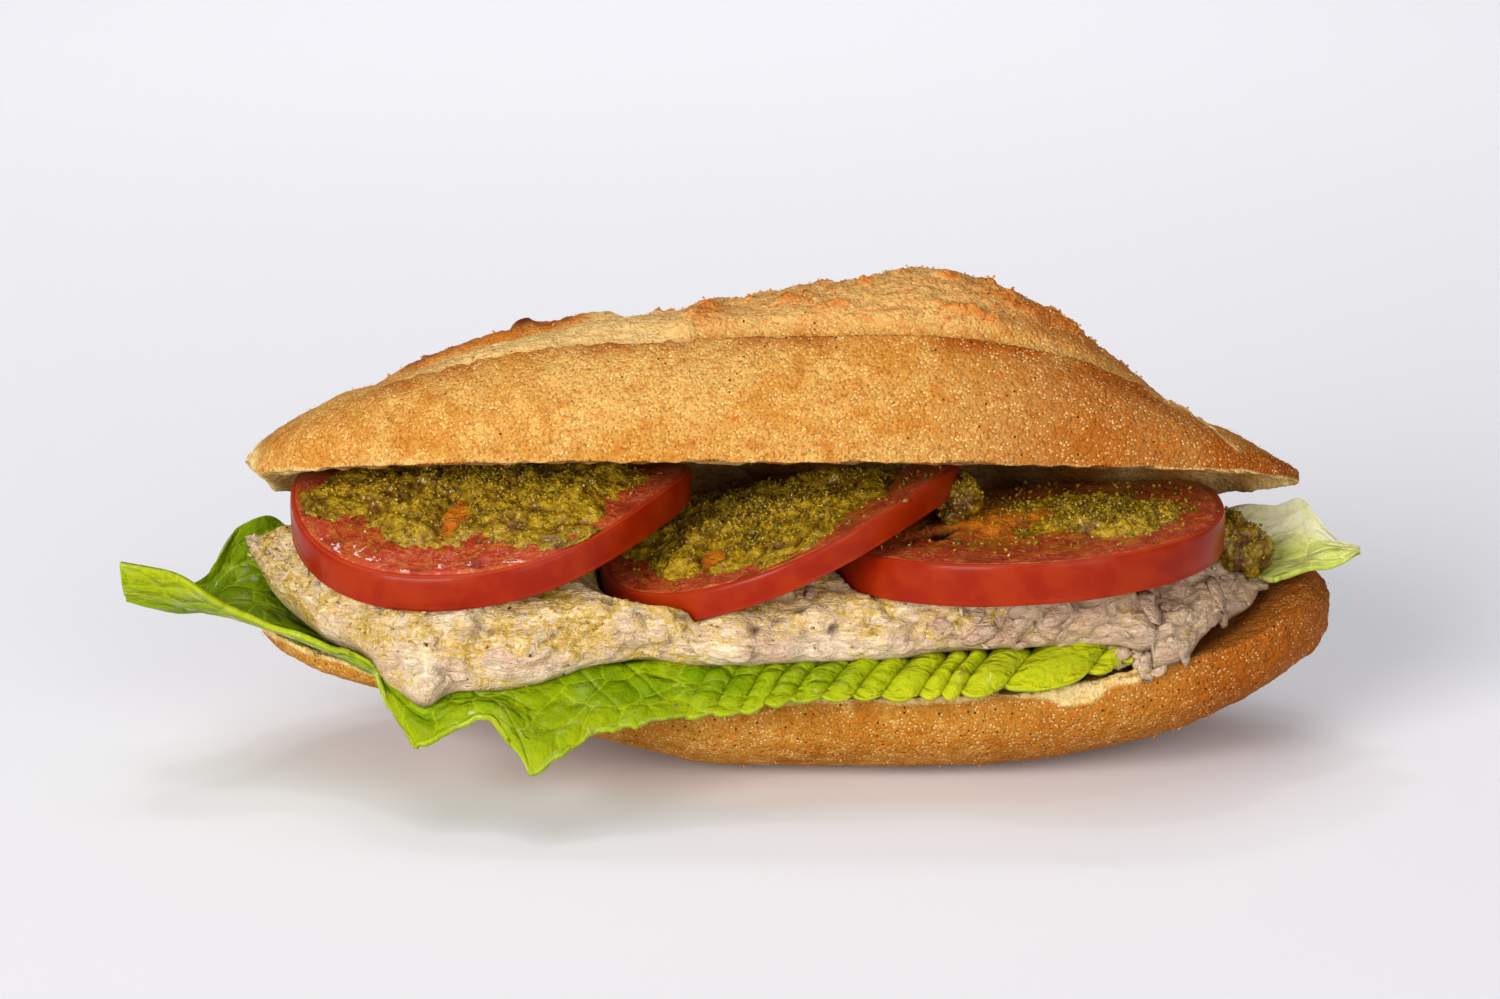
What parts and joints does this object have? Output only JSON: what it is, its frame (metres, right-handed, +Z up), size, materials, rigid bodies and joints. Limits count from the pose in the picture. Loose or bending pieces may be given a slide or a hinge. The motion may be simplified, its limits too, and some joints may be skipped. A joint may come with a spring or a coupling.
{
  "type": "filled baguette sandwich",
  "caption": "Crusty slashed baguette split along its side, propped open by lettuce, tuna salad and overlapping tomato slices under coarse pesto.",
  "frame": {"origin": "middle of the flat spot that the lower half rests on", "axes": "+X along the loaf to its blunt end, +Y away from the open side, +Z up"},
  "size_m": [0.2329, 0.098, 0.0931],
  "materials": {
    "crust": "dry golden bread crust, floury and finely blistered, with a pale crumb on the cut faces",
    "lettuce": "fresh leaf with a waxy shine, paler at its ribs and edges",
    "pale_lettuce": "pale inner leaf, slightly see-through, satin",
    "tuna": "moist flaked tuna salad with oil stains and pepper specks",
    "tomato": "wet cut tomato flesh and smooth glossy skin",
    "pesto": "coarse chopped herbs and nuts in oil, wet glints"
  },
  "bodies": {
    "root": {"bread_base": "crust", "bread_lid": "crust", "lettuce_leaf": "lettuce", "lettuce_pale": "pale_lettuce", "tuna_salad": "tuna", "tomato_left": "tomato", "tomato_middle": "tomato", "tomato_right": "tomato", "pesto_left": "pesto", "pesto_middle": "pesto", "pesto_right": "pesto", "pesto_run_off": "pesto", "pesto_gap": "pesto"}
  },
  "joints": []
}
